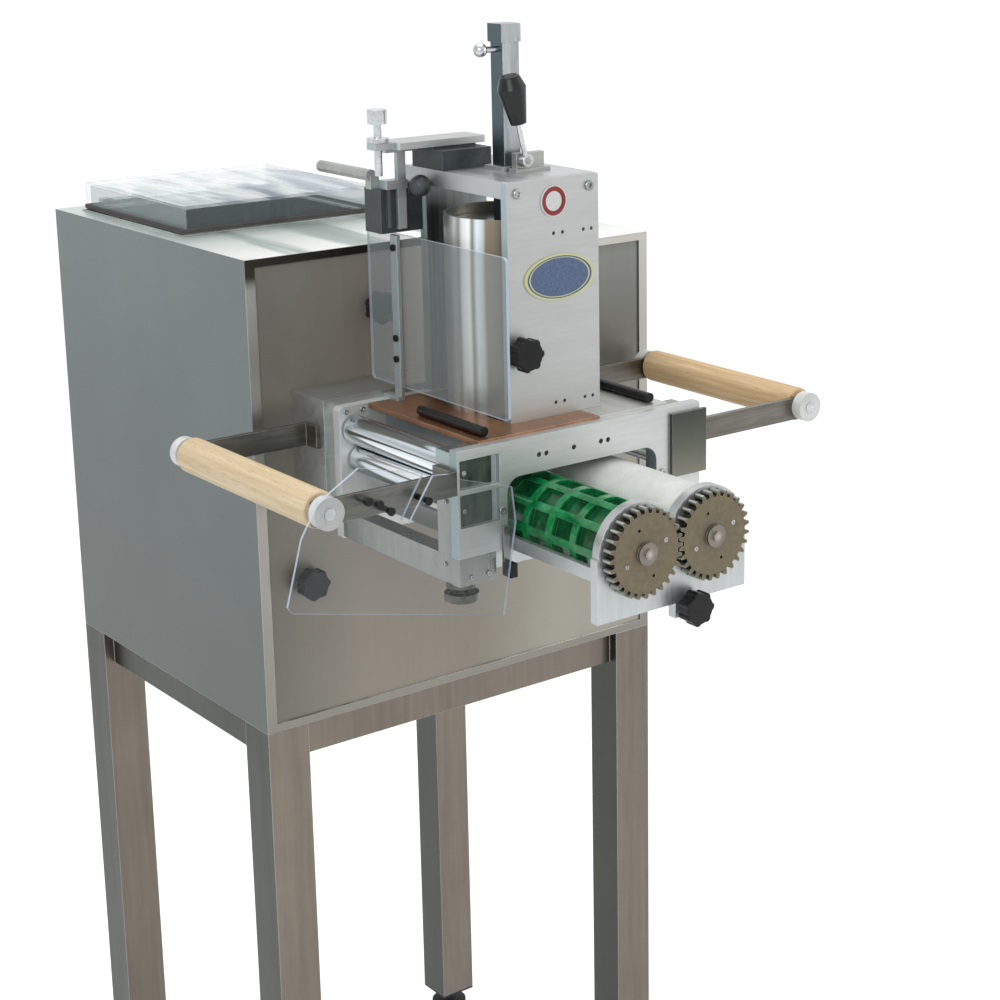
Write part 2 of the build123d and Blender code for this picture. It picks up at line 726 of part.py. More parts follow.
save("adjuster_plate", adjuster_plate)

screw_reach = 26.0
thumb_r = 10.0
thumb_h = 14.0
collar_top = adj_z + 12.0
with BuildPart() as adjuster_screw:
    bar_z(screw_x, screw_y, adj_z - screw_reach, adj_z + screw_reach, screw_r)
    bar_z(screw_x, screw_y, adj_z + adj_plate_t + seat_gap, collar_top, thumb_r + 1)
    bar_z(screw_x, screw_y, adj_z + screw_reach, adj_z + screw_reach + thumb_h, thumb_r)
save("adjuster_screw", adjuster_screw)

box_front = adj_back - 8.0
ball_r = 11.0
ball_x = -68.5
ball_y = 174.0
ball_z = clamp_z + 3.5
stem_r = 3.0
pad_left = -56.0
pad_top = head_top + 20.0
hang_box = (-102.0, -52.0)
with BuildPart() as adjuster_housing:
    block(pad_left, 4, 152, 206, head_top, pad_top)
    block(pad_left, -4, 168, 200, pad_top, adj_z)
    block(hang_box[0], hang_box[1], box_front, 226, hang_z, clamp_z)
    bar_z(-93, hanger_front + 4, hang_z + 6, clamp_z, stem_r)
    bar_y(ball_x, ball_y + 6, box_front, ball_z, stem_r)
    block(ball_x - stem_r, ball_x + stem_r, box_front - 4, box_front, clamp_z - 6, ball_z)
    with Locations((ball_x, ball_y, ball_z)):
        Sphere(ball_r)
save("adjuster_housing", adjuster_housing)

sensor_x = -106.0
sensor_r = 6.0
sensor_z = ref_z + 251.0
with BuildPart() as sensor_rod:
    bar_y(sensor_x, 206, 302, sensor_z, sensor_r)
    block(sensor_x - 2, sensor_x + 8, adj_back, adj_back + 10, clamp_z, sensor_z)
save("sensor_rod", sensor_rod)

# ---------------------------------------------------------------- guards
guard_x = -82.0
guard_t = 3.0
guard_front = 12.0
guard_back = 256.0
guard_bottom = ref_z + 30.0
guard_top = ref_z + 190.0
with BuildPart() as upper_guard:
    block(guard_x, guard_x + guard_t, guard_front, guard_back, guard_bottom, guard_top)
    fillet(upper_guard.edges().filter_by(Axis.X), 5)
save("upper_guard", upper_guard)

strip_front = 194.0
strip_w = 12.0
strip_t = 4.0
with BuildPart() as guard_strip:
    block(guard_x - strip_t, guard_x, strip_front, strip_front + strip_w, portal_top + strip_t, guard_top - 1)
    block(guard_x - 2 * strip_t, guard_x, strip_front, rear_back, portal_top + 2, portal_top + 6)
save("guard_strip", guard_strip)

flap_y = -17.0
flap_t = 3.0
flap_points = (
    (-270, ref_z + 25), (-201, ref_z + 7), (-226, ref_z - 33), (-218, ref_z - 38), (-190, ref_z + 3),
    (-172, ref_z + 1), (-162, ref_z - 6), (-100, ref_z - 25), (-96, ref_z - 60), (-112, ref_z - 152),
    (-344, ref_z - 97), (flap_left, ref_z - 90), (-332, ref_z - 30), (-314, ref_z),
)
with BuildPart() as lower_guard:
    with BuildSketch(front_plane(flap_y + flap_t)):
        Polygon(*flap_points, align=None)
    extrude(amount=flap_t)
save("lower_guard", lower_guard)

strip_screw_h = 2.5
strip_screw_r = 3.5
strip_screw_zs = (ref_z + 60, ref_z + 82, ref_z + 176)
strip_mid_y = strip_front + strip_w / 2
flap_screws = ((-262, ref_z - 8), (-250, ref_z - 13), (-238, ref_z - 22), (-197, ref_z - 20))
flap_screw_h = 2.5
flap_screw_r = 4.0
spacer_r = 3.0
with BuildPart() as guard_screws:
    for sz in strip_screw_zs:
        bar_x(guard_x - strip_t - strip_screw_h, guard_x - strip_t, strip_mid_y, sz, strip_screw_r)
    for sx, sz in flap_screws:
        bar_y(sx, flap_y - flap_screw_h, flap_y, sz, flap_screw_r)
        bar_y(sx, flap_y + flap_t, 0, sz, spacer_r)
    block(latch_x0, latch_x0 + latch_w, latch_grip_y, 0, latch_strip_bottom - latch_grip_h,
          latch_strip_bottom)
save("guard_screws", guard_screws)

# ---------------------------------------------------------------- dough rolls
axle_front = -13.0
axle_tail = 3.0
rear_arm_y = 250.0
arm_back = rear_arm_y + arm_t
arm_z0 = roll_z - arm_h / 2 - 2
arm_z1 = arm_z0 + arm_h
flange_len = 34.0
rear_flange_len = 20.0
arm_end = roll_x + 10
cap_r = 15.5
roll_edge = 3.0
with BuildPart() as roll_arms:
    for sign in (-1, 1):
        front_flange = sign * frame_half
        rear_flange = sign * mount_box_half
        outer = sign * arm_end
        block(min(front_flange, outer), max(front_flange, outer), 0, arm_t, arm_z0, arm_z1)
        block(min(front_flange, front_flange + sign * arm_t), max(front_flange, front_flange + sign * arm_t),
              0, flange_len, arm_z0, arm_z1)
        block(min(rear_flange, outer), max(rear_flange, outer), rear_arm_y, arm_back, arm_z0, arm_z1)
        block(min(rear_flange, rear_flange + sign * arm_t), max(rear_flange, rear_flange + sign * arm_t),
              rear_arm_y - rear_flange_len, arm_back, arm_z0, arm_z1)
        bar_y(sign * roll_x, 0, arm_back, roll_z, roll_bore_r, mode=Mode.SUBTRACT)
save("roll_arms", roll_arms)

cap_gap = 0.02
with BuildPart() as roll_axles:
    for sign in (-1, 1):
        bar_y(sign * roll_x, axle_front, arm_back + cap_len + axle_tail, roll_z, roll_bore_r - cap_gap)
save("roll_axles", roll_axles)

with BuildPart() as roll_end_caps:
    for sign in (-1, 1):
        bar_y(sign * roll_x, -cap_len, 0, roll_z, cap_r)
        bar_y(sign * roll_x, arm_back, arm_back + cap_len, roll_z, cap_r)
        bar_y(sign * roll_x, -cap_len, arm_back + cap_len, roll_z, roll_bore_r, mode=Mode.SUBTRACT)
save("roll_end_caps", roll_end_caps)

for roll_name, sign in (("left_dough_roll", -1), ("right_dough_roll", 1)):
    with BuildPart() as dough_roll:
        bar_y(sign * roll_x, arm_t + 1, rear_arm_y - 1, roll_z, roll_r)
        fillet(dough_roll.edges().filter_by(GeomType.CIRCLE), roll_edge)
        bar_y(sign * roll_x, 0, rear_arm_y, roll_z, roll_bore_r + running_gap, mode=Mode.SUBTRACT)
    save(roll_name, dough_roll)

# ---------------------------------------------------------------- die cassette
def end_outline(lobe_r, lower_half):
    """Cassette end plate: two round lobes over a flat-bottomed foot, with axle holes."""
    with Locations((-axle_x, axle_z), (axle_x, axle_z)):
        Circle(lobe_r)
    with Locations((0, (tie_top - tie_h + axle_z) / 2)):
        Rectangle(2 * end_half, axle_z - tie_top + tie_h)
    with Locations((0, (end_bottom + axle_z) / 2)):
        Rectangle(2 * lower_half, axle_z - end_bottom)
    with Locations((-axle_x, axle_z), (axle_x, axle_z)):
        Circle(axle_r + running_gap, mode=Mode.SUBTRACT)


knob_tab = (18.0, ref_z - 138.0)
knob_tab_w = 30.0
knob_tab_h = 22.0
with BuildPart() as front_end_plate:
    with BuildSketch(front_plane(end_front + end_t)):
        end_outline(end_lobe_r, end_half)
        with Locations(knob_tab):
            Rectangle(knob_tab_w, knob_tab_h)
    extrude(amount=end_t)
save("front_end_plate", front_end_plate)

rear_end_t = 8.0
with BuildPart() as rear_end_plate:
    with BuildSketch(front_plane(rear_end_y + rear_end_t)):
        end_outline(rear_lobe_r, rear_foot_half)
    extrude(amount=rear_end_t)
save("rear_end_plate", rear_end_plate)

with BuildPart() as tie_bars:
    for sign in (-1, 1):
        x0 = -end_half if sign < 0 else end_half - tie_t
        block(x0, x0 + tie_t, end_front + end_t, rear_end_y, tie_top - tie_h, tie_top)
save("tie_bars", tie_bars)

rail_top = tie_top - tie_h - seat_gap
rail_in = 78.0
rail_out = 104.0
rail_t = 6.0
rail_lip = 14.0
with BuildPart() as cassette_rails:
    for x0, wall in ((-rail_out, -rail_out), (rail_in, rail_out - rail_t)):
        block(x0, x0 + rail_out - rail_in, plate_t, rear_y, rail_top - rail_t, rail_top)
        block(wall, wall + rail_t, plate_t, rear_y, rail_top - rail_t, rail_top + rail_lip)
save("cassette_rails", cassette_rails)

axle_back = rear_end_y + rear_end_t + 8
pocket_pitch = roller_len / pocket_cols
with BuildPart() as die_roller:
    bar_y(-axle_x, roller_front, roller_back, axle_z, roller_r)
    bar_y(-axle_x, gear_back, axle_back, axle_z, axle_r)
    for col in range(pocket_cols):
        py = roller_front + pocket_pitch * (col + 0.5)
        for row in range(pocket_rows):
            turn = Location((-axle_x, py, axle_z), (0, 360 / pocket_rows * row, 0))
            with Locations(turn * Location((0, 0, roller_r - pocket_depth))):
                Box(pocket_width, pocket_pitch - pocket_rib, 2 * pocket_depth,
                    align=(Align.CENTER, Align.CENTER, Align.MIN), mode=Mode.SUBTRACT)
save("die_roller", die_roller)

with BuildPart() as plain_roller:
    bar_y(axle_x, roller_front, roller_back, axle_z, roller_r)
    bar_y(axle_x, gear_back, axle_back, axle_z, axle_r)
save("plain_roller", plain_roller)

pitch_r = gear_module * gear_teeth / 2
tip_r = pitch_r + gear_addendum * gear_module
root_r = pitch_r - gear_dedendum * gear_module
tooth = ((root_r - 1, -tooth_root_half), (pitch_r, -tooth_pitch_half), (tip_r, -tooth_tip_half),
         (tip_r, tooth_tip_half), (pitch_r, tooth_pitch_half), (root_r - 1, tooth_root_half))
for side_name, sign in (("left", -1), ("right", 1)):
    cx = sign * axle_x
    half_tooth = 0 if sign < 0 else 180 / gear_teeth
    with BuildPart() as gear:
        with BuildSketch(front_plane(gear_back)):
            with Locations((cx, axle_z)):
                Circle(root_r)
                with PolarLocations(0, gear_teeth, start_angle=half_tooth):
                    Polygon(*tooth, align=None)
                with PolarLocations(gear_hole_ring, gear_holes, start_angle=gear_hole_start):
                    Circle(gear_hole_r, mode=Mode.SUBTRACT)
        extrude(amount=gear_w)
        bar_y(cx, gear_front - hub_t, gear_front, axle_z, hub_r)
        bar_y(cx, gear_front - hub_t - hub_nut_t, gear_front - hub_t, axle_z, hub_nut_r)
    save(side_name + "_gear", gear)

star_knob("cassette_knob", knob_tab[0], end_front, knob_tab[1])
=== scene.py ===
# Looks for the ravioli machine: procedural materials, small detail pieces, floor, lights, camera.
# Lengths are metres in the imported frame's axes. Where a comment or a call of at(), along(), past()
# or before() says so, they are the drawing's millimetres.
import math
import bmesh
import bpy
from mathutils import Matrix, Vector


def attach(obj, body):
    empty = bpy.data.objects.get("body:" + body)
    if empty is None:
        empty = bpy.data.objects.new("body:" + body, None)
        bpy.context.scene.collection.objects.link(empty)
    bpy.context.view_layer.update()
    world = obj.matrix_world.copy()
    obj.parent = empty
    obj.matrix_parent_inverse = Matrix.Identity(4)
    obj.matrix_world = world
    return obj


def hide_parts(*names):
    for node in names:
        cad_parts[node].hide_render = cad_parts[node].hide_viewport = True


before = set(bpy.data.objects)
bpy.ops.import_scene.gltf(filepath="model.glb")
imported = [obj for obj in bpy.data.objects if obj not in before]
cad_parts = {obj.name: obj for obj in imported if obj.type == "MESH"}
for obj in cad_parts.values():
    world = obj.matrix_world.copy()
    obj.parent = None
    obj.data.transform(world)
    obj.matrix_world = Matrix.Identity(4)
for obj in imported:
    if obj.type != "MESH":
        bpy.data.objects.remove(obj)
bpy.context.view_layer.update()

# The part's drawing starts at the head; this moves its millimetres to the frame's place.
SHIFT = {"X": 15.0, "Y": -289.35, "Z": 0.0}

# Places of the drawing that looks and detail pieces follow, in millimetres.
FRAME_HALF = 152
DIE_HALF, DIE_HEIGHT = 42.25, 979
CYLINDER_DEPTH = 120
BADGE_X, BADGE_HEIGHT = 6, 1207
DISC_HEIGHT = 1283


def along(axis, value):
    """One coordinate of the drawing, in the frame's metres."""
    return (value + SHIFT[axis]) / 1000


def at(x, y, z):
    """A place in the drawing, in the frame's metres."""
    return Vector((along("X", x), along("Y", y), along("Z", z)))


def die_axis(side):
    """The axis of the left (-1) or right (1) shaft of the die cassette."""
    return at(side * DIE_HALF, 0, DIE_HEIGHT)


def rgb(red, green, blue):
    """Linear colour from 0-255 screen values."""
    out = []
    for value in (red, green, blue):
        value /= 255
        out.append(value / 12.92 if value <= 0.04045 else ((value + 0.055) / 1.055) ** 2.4)
    return (*out, 1.0)


def grey(level):
    return (level, level, level, 1)


def halfway(first, second):
    return tuple((a + b) / 2 for a, b in zip(first, second))


# ---------------------------------------------------------------- shader nodes
class Nodes:
    """Short calls for the nodes of one shader tree."""

    def __init__(self, tree):
        self.tree = tree
        tree.nodes.clear()

    def add(self, kind, **settings):
        node = self.tree.nodes.new("ShaderNode" + kind)
        for name, value in settings.items():
            setattr(node, name, value)
        return node

    def put(self, socket, value):
        """Links another node's output to a socket, or sets the socket's own value."""
        if isinstance(value, bpy.types.NodeSocket):
            self.tree.links.new(value, socket)
        else:
            socket.default_value = value

    def calc(self, operation, first, second=0.0):
        node = self.add("Math", operation=operation)
        self.put(node.inputs[0], first)
        self.put(node.inputs[1], second)
        return node.outputs[0]

    def product(self, first, *others):
        for other in others:
            first = self.calc("MULTIPLY", first, other)
        return first

    def seen(self):
        """1 for rays that go straight to the camera, off gloss or through clear sheet."""
        path = self.add("LightPath").outputs
        bounced = self.calc("MAXIMUM", path["Is Glossy Ray"], path["Is Transmission Ray"])
        return self.calc("MAXIMUM", bounced, path["Is Camera Ray"])


class Graph(Nodes):
    """A Principled material and the nodes that drive it."""

    # A face counts as turned to an axis from the second value of its normal, and not below the first.
    TURNED = (0.5, 0.9)
    # Most of a noise's values lie between these.
    NOISE_SPAN = (0.3, 0.7)
    EDGE_GAIN = 3.0

    def __init__(self, name):
        self.mat = bpy.data.materials.new(name)
        self.mat.use_nodes = True
        super().__init__(self.mat.node_tree)
        self.shader = self.add("BsdfPrincipled")
        self.put(self.add("OutputMaterial").inputs["Surface"], self.shader.outputs[0])
        coords = self.add("TexCoord")
        self.place = coords.outputs["Object"]
        self.facing = coords.outputs["Normal"]

    def done(self, **values):
        """Sets the shader's inputs and gives the finished material."""
        for key, value in values.items():
            self.put(self.shader.inputs[key.replace("_", " ")], value)
        return self.mat

    def axes(self, vector):
        node = self.add("SeparateXYZ")
        self.put(node.inputs[0], vector)
        return node.outputs

    def spot(self, axis):
        """The surface's place along an axis."""
        return self.axes(self.place)[axis]

    def tilt(self, axis):
        """The surface normal's part along an axis, -1 to 1."""
        return self.axes(self.facing)[axis]

    def remap(self, value, low, high, start, end):
        """Low up to start, high from end."""
        node = self.add("MapRange")
        self.put(node.inputs["Value"], value)
        node.inputs["From Min"].default_value = start
        node.inputs["From Max"].default_value = end
        node.inputs["To Min"].default_value = low
        node.inputs["To Max"].default_value = high
        return node.outputs["Result"]

    def rise(self, value, start, end):
        return self.remap(value, 0.0, 1.0, start, end)

    def fall(self, value, start, end):
        return self.remap(value, 1.0, 0.0, start, end)

    def between(self, value, lower_edge, upper_edge):
        """1 between two soft edges, each given by its start and end."""
        return self.product(self.rise(value, *lower_edge), self.fall(value, *upper_edge))

    def past(self, axis, edge, blur):
        """1 beyond a line of the drawing, softened by blur each way; both in millimetres."""
        return self.rise(self.spot(axis), along(axis, edge - blur), along(axis, edge + blur))

    def before(self, axis, edge, blur):
        """1 ahead of a line of the drawing, softened by blur each way; both in millimetres."""
        return self.fall(self.spot(axis), along(axis, edge - blur), along(axis, edge + blur))

    def turned_low(self, axis):
        """1 on faces turned down an axis: left for X, front for Y."""
        return self.fall(self.tilt(axis), -self.TURNED[1], -self.TURNED[0])

    def turned_up(self):
        return self.rise(self.tilt("Z"), *self.TURNED)

    def noise(self, scale, detail=3.0, roughness=0.55, distortion=0.0):
        """Noise with scale lumps per metre, the same along all axes or one number for each."""
        spread = self.add("Mapping")
        spread.inputs["Scale"].default_value = scale if isinstance(scale, tuple) else (scale,) * 3
        self.put(spread.inputs["Vector"], self.place)
        node = self.add("TexNoise")
        self.put(node.inputs["Vector"], spread.outputs[0])
        node.inputs["Scale"].default_value = 1.0
        node.inputs["Detail"].default_value = detail
        node.inputs["Roughness"].default_value = roughness
        node.inputs["Distortion"].default_value = distortion
        return node.outputs[0]

    def over_noise(self, value, low, high):
        """Low to high over the span of a noise's values."""
        return self.remap(value, low, high, *self.NOISE_SPAN)

    def blend(self, first, second, share):
        """The first value by its share and the second by the rest."""
        return self.calc("ADD", self.product(first, share), self.product(second, 1 - share))

    def ramp(self, value, *stops):
        node = self.add("ValToRGB")
        marks = node.color_ramp.elements
        while len(marks) < len(stops):
            marks.new(0.5)
        for mark, (place, colour) in zip(marks, stops):
            mark.position = place
            mark.color = colour
        self.put(node.inputs[0], value)
        return node.outputs[0]

    def mix(self, amount, first, second, mode="MIX"):
        node = self.add("Mix", data_type="RGBA", blend_type=mode)
        self.put(node.inputs[0], amount)
        self.put(node.inputs[6], first)
        self.put(node.inputs[7], second)
        return node.outputs[2]

    def radius(self, centre, spans=None):
        """Distance from the axis that runs back through centre, or a share of an oval's two spans."""
        squares = []
        for order, axis in enumerate("XZ"):
            offset = self.calc("SUBTRACT", self.spot(axis), centre.xz[order])
            if spans:
                offset = self.calc("DIVIDE", offset, spans[order])
            squares.append(self.product(offset, offset))
        return self.calc("SQRT", self.calc("ADD", *squares))

    def glance(self, blend):
        """Fresnel weight: small face on, large at a flat angle."""
        node = self.add("LayerWeight")
        node.inputs["Blend"].default_value = blend
        return node.outputs["Fresnel"]

    def bevel(self, size):
        node = self.add("Bevel", samples=4)
        node.inputs["Radius"].default_value = size
        return node.outputs[0]

    def edge_wear_and_highlight(self, size, share):
        """Up to share along the sharp edges, 0 on the flat faces: the mask for lighter edges that are
        partly wear and partly painted highlight.
        """
        node = self.add("VectorMath", operation="DOT_PRODUCT")
        self.put(node.inputs[0], self.bevel(size))
        self.put(node.inputs[1], self.add("NewGeometry").outputs["Normal"])
        edge = self.calc("SUBTRACT", 1.0, node.outputs["Value"])
        return self.product(self.calc("MINIMUM", self.product(edge, self.EDGE_GAIN), 1.0), share)

    def bump(self, height, strength, distance, normal=None):
        node = self.add("Bump")
        node.inputs["Strength"].default_value = strength
        node.inputs["Distance"].default_value = distance
        self.put(node.inputs["Height"], height)
        if normal is not None:
            self.put(node.inputs["Normal"], normal)
        return node.outputs[0]


# ---------------------------------------------------------------- families of materials
# Beside the fine grain of brushed metal runs a broad one, this many times coarser.
BROAD_GRAIN = 0.12


def brushed(name, dark, light, grain, rough=(0.24, 0.42), metallic=1.0, edge=0.0008,
            cloud=(0.84, 1.08), colour=None, strength=0.12):
    """Brushed or ground metal: fine directional grain over soft cloudy tone, with lighter edges that
    are partly wear and partly painted highlight.
    """
    g = Graph(name)
    fine = g.noise(grain, 5.0, 0.65)
    broad = g.noise(tuple(value * BROAD_GRAIN for value in grain))
    streak = g.blend(fine, broad, 0.55)
    base = g.ramp(streak, (0.34, dark), (0.66, light))
    if colour:
        base = colour(g, base)
    stain = g.noise(7, 4.0, 0.6)
    tone = g.ramp(stain, (0.3, grey(cloud[0])), (0.7, grey(cloud[1])))
    base = g.mix(1.0, base, tone, "MULTIPLY")
    # Lighter edges: partly wear, partly painted highlight.
    base = g.mix(g.edge_wear_and_highlight(edge, 0.5), base, rgb(226, 230, 230))
    return g.done(Base_Color=base, Metallic=metallic, Roughness=g.over_noise(streak, *rough),
                  Normal=g.bump(fine, strength, 0.0004, g.bevel(edge)))


def plastic(name, dark, light, rough=(0.35, 0.5), grain=900, edge=0.0008, coat=0.0, edge_wear_and_highlight_tone=None,
            specular=0.5):
    """Moulded plastic or paint: fine speckle, soft patches of handling and rounded edges, lighter
    where an edge colour is given, partly wear and partly painted highlight.
    """
    g = Graph(name)
    speck = g.noise(grain, 2.0)
    patch = g.noise(38, 4.0, 0.6)
    base = g.ramp(g.blend(speck, patch, 0.35), (0.36, dark), (0.64, light))
    # Lighter edges where an edge colour is given: partly wear, partly painted highlight.
    if edge_wear_and_highlight_tone:
        base = g.mix(g.edge_wear_and_highlight(edge, 0.6), base, edge_wear_and_highlight_tone)
    return g.done(Base_Color=base, Roughness=g.over_noise(patch, *rough), Coat_Weight=coat,
                  Specular_IOR_Level=specular, Normal=g.bump(speck, 0.08, 0.0003, g.bevel(edge)))


def left_face_painted_light(tint):
    """A colour function that gives the faces turned left another tone, as painted light on one side
    of a part.
    """
    def colour(g, base):
        return g.mix(g.turned_low("X"), base, tint)
    return colour


def dress(material, *nodes):
    """Gives CAD nodes their finished material."""
    for node in nodes:
        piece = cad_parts[node]
        if not piece.material_slots:
            piece.data.materials.append(material)
        for slot in piece.material_slots:
            slot.material = material


# ---------------------------------------------------------------- sheet steel
def cabinet_colour(g, base):
    """Painted light on the cabinet: the sides painted darker, with painted shade deepening towards
    the bottom; the top painted brighter, with painted glints and reflections strongest near the
    front; the front rim painted paler, with a painted shadow along its top.
    """
    height = g.rise(g.spot("Z"), 0.70, 1.21)
    # Painted shade: the sides darken towards the bottom.
    side = g.ramp(height, (0.0, rgb(82, 86, 82)), (0.45, rgb(94, 102, 101)),
                  (1.0, rgb(114, 123, 124)))
    # Painted glints and reflections on the top, stronger near the front.
    glints = g.noise((17, 1.6, 3), 2.0, 0.45, distortion=0.4)
    near = g.fall(g.spot("Y"), 0.02, 0.17)
    glare = g.product(g.rise(glints, 0.46, 0.54), g.calc("ADD", g.product(near, 0.8), 0.2))
    plain = g.ramp(glints, (0.3, rgb(152, 166, 160)), (0.6, rgb(186, 197, 193)))
    top = g.mix(glare, plain, rgb(244, 246, 242))
    # Painted shadow: the dark band along the top of the front rim.
    rim = g.ramp(height, (0.0, rgb(130, 128, 120)), (0.5, rgb(158, 155, 148)),
                 (0.95, rgb(184, 181, 174)), (0.975, rgb(70, 66, 58)), (1.0, rgb(62, 58, 50)))
    # Painted light: front faces, sides and top each get their own tone of light and shade.
    upright = g.mix(g.turned_low("Y"), g.mix(0.25, side, base), rim)
    return g.mix(g.turned_up(), upright, top)


def panel_colour(g, base):
    """Warm grey front with painted reflections in bands up the face, warmer left of the head and
    cooler to its right, and painted shade darkening its left side.
    """
    height = g.rise(g.spot("Z"), 0.70, 1.2)
    across = g.rise(g.spot("X"), -0.21, 0.32)
    # Painted reflections: both tones change in bands with height.
    warm = g.ramp(height, (0.0, rgb(136, 129, 117)), (0.35, rgb(134, 126, 116)),
                  (0.75, rgb(164, 154, 144)), (1.0, rgb(166, 158, 149)))
    cool = g.ramp(height, (0.3, rgb(168, 166, 154)), (0.5, rgb(150, 150, 142)),
                  (0.75, rgb(98, 100, 96)), (0.93, rgb(124, 130, 126)), (1.0, rgb(80, 84, 80)))
    tone = g.mix(g.rise(across, 0.55, 0.78), warm, cool)
    # Painted shade darkening the left side of the panel.
    band = g.ramp(across, (0.0, (0.62, 0.66, 0.66, 1)), (0.07, (0.66, 0.7, 0.7, 1)),
                  (0.2, (0.9, 0.92, 0.92, 1)), (0.26, grey(1.0)))
    return g.mix(1.0, g.mix(0.3, tone, base), band, "MULTIPLY")


cabinet_steel = brushed("cabinet_steel", rgb(106, 112, 110), rgb(128, 134, 132), (10, 120, 10),
                        rough=(0.3, 0.42), colour=cabinet_colour, edge=0.0012, metallic=0.9,
                        cloud=(0.94, 1.04), strength=0.04)
panel_steel = brushed("panel_steel", rgb(134, 127, 117), rgb(150, 143, 133), (160, 20, 8),
                      rough=(0.34, 0.46), colour=panel_colour, cloud=(0.96, 1.04), metallic=0.45,
                      strength=0.05)
# The legs' faces turned left are painted in shade.
leg_steel = brushed("leg_steel", rgb(106, 98, 90), rgb(126, 118, 108), (120, 120, 6),
                    rough=(0.3, 0.45), colour=left_face_painted_light(rgb(74, 76, 72)), edge=0.0016,
                    cloud=(0.92, 1.05), strength=0.05)
stainless = brushed("stainless", rgb(150, 152, 149), rgb(178, 181, 178), (14, 120, 120),
                    rough=(0.26, 0.38), cloud=(0.92, 1.05), metallic=0.8, strength=0.04)
tub_steel = brushed("tub_steel", rgb(128, 136, 134), rgb(200, 206, 204), (24, 160, 24),
                    rough=(0.14, 0.3))
arm_steel = brushed("arm_steel", rgb(84, 82, 76), rgb(124, 121, 113), (14, 14, 200),
                    rough=(0.24, 0.38), cloud=(0.8, 1.15))
column_steel = brushed("column_steel", rgb(112, 120, 120), rgb(158, 164, 164), (300, 300, 10),
                       rough=(0.26, 0.4))
# The mast's faces turned left are painted in a blue-grey shade.
mast_steel = brushed("mast_steel", rgb(128, 132, 134), rgb(176, 180, 182), (260, 260, 16),
                     rough=(0.24, 0.4), colour=left_face_painted_light(rgb(84, 98, 104)))


# ---------------------------------------------------------------- aluminium and bright steel
# The portal's side pockets are floored behind this depth and lie left of this line, in millimetres.
POCKET_DEPTH, POCKET_SIDE = 4, -108
# The stop bracket stands ahead of the portal's face; the left post turns pale above this height.
BRACKET_BACK, POST_PALE_HEIGHT = -0.25, 1046
# Copper covers the guide table up to this line.
COPPER_END = 30.5
# Half turns by which the cylinder's run of reflections is moved round it.
CYLINDER_START = 2.22


def portal_colour(g, base):
    """Light face; the faces turned left painted in blue-grey shade, and the floors of the side
    pockets painted in a mottled dark green-grey shade.
    """
    floor_share = g.product(g.past("Y", POCKET_DEPTH, 1), g.before("X", POCKET_SIDE, 0.5),
                            g.turned_low("Y"))
    # Painted shade on the pocket floors, mottled.
    painted_pocket_shade = g.ramp(g.noise((90, 90, 30)), (0.35, rgb(44, 54, 50)), (0.65, rgb(92, 98, 92)))
    return g.mix(floor_share, g.mix(g.turned_low("X"), base, rgb(150, 166, 168)), painted_pocket_shade)


def post_colour(g, base):
    """Steel posts, the left one pale at its top, with the darker stop bracket on the right."""
    right_side = g.rise(g.spot("X"), 0.0, 0.02)
    left_side = g.calc("SUBTRACT", 1.0, right_side)
    bracket = g.product(g.before("Y", BRACKET_BACK, 0.15), right_side)
    pale = g.product(g.past("Z", POST_PALE_HEIGHT, 10), left_side, 0.7)
    dark = g.ramp(g.rise(g.spot("Z"), 0.99, 1.06), (0.0, rgb(122, 121, 110)),
                  (0.5, rgb(92, 95, 87)), (1.0, rgb(70, 74, 68)))
    return g.mix(bracket, g.mix(pale, base, rgb(166, 184, 186)), dark)


def cylinder_colour(g, base):
    """Tall soft reflections round the drawn tube, in the same run on both halves."""
    centre = at(0, CYLINDER_DEPTH, 0)
    angle = g.calc("ARCTAN2", g.calc("SUBTRACT", g.spot("Y"), centre.y),
                   g.calc("SUBTRACT", g.spot("X"), centre.x))
    waver = g.product(g.calc("SUBTRACT", g.noise((1, 1, 5), 2.0), 0.5), 0.03)
    turn = g.calc("ADD", g.calc("DIVIDE", angle, math.pi), waver)
    half = g.calc("FRACT", g.calc("ADD", turn, CYLINDER_START))
    bands = g.ramp(half, (0.0, rgb(150, 152, 146)), (0.15, rgb(186, 192, 190)),
                   (0.21, rgb(216, 222, 222)), (0.245, rgb(142, 142, 134)),
                   (0.27, rgb(222, 227, 227)), (0.315, rgb(250, 252, 252)),
                   (0.335, rgb(126, 124, 114)), (0.36, rgb(226, 238, 243)),
                   (0.39, rgb(200, 211, 214)), (0.41, rgb(138, 122, 102)),
                   (0.45, rgb(120, 111, 96)), (0.5, rgb(88, 85, 75)), (0.6, rgb(112, 112, 102)),
                   (0.75, rgb(96, 94, 84)), (1.0, rgb(150, 152, 146)))
    return g.mix(0.95, base, bands)


def roller_colour(g, base):
    """Polished rollers carry long light and dark painted reflections."""
    bands = g.ramp(g.noise((46, 1.2, 46), 2.0, 0.5), (0.36, rgb(70, 84, 92)),
                   (0.46, rgb(140, 152, 158)), (0.55, rgb(214, 224, 230)), (0.64, rgb(246, 250, 252)))
    return g.mix(0.7, base, bands)


def table_colour(g, base):
    """Copper on the left half, pale metal on the right."""
    return g.mix(g.past("X", COPPER_END, 0.5), base, rgb(196, 196, 192))


pale_plate = brushed("pale_plate", rgb(204, 206, 203), rgb(222, 223, 220), (90, 20, 20),
                     rough=(0.34, 0.48), metallic=0.5, cloud=(0.95, 1.02), strength=0.04)
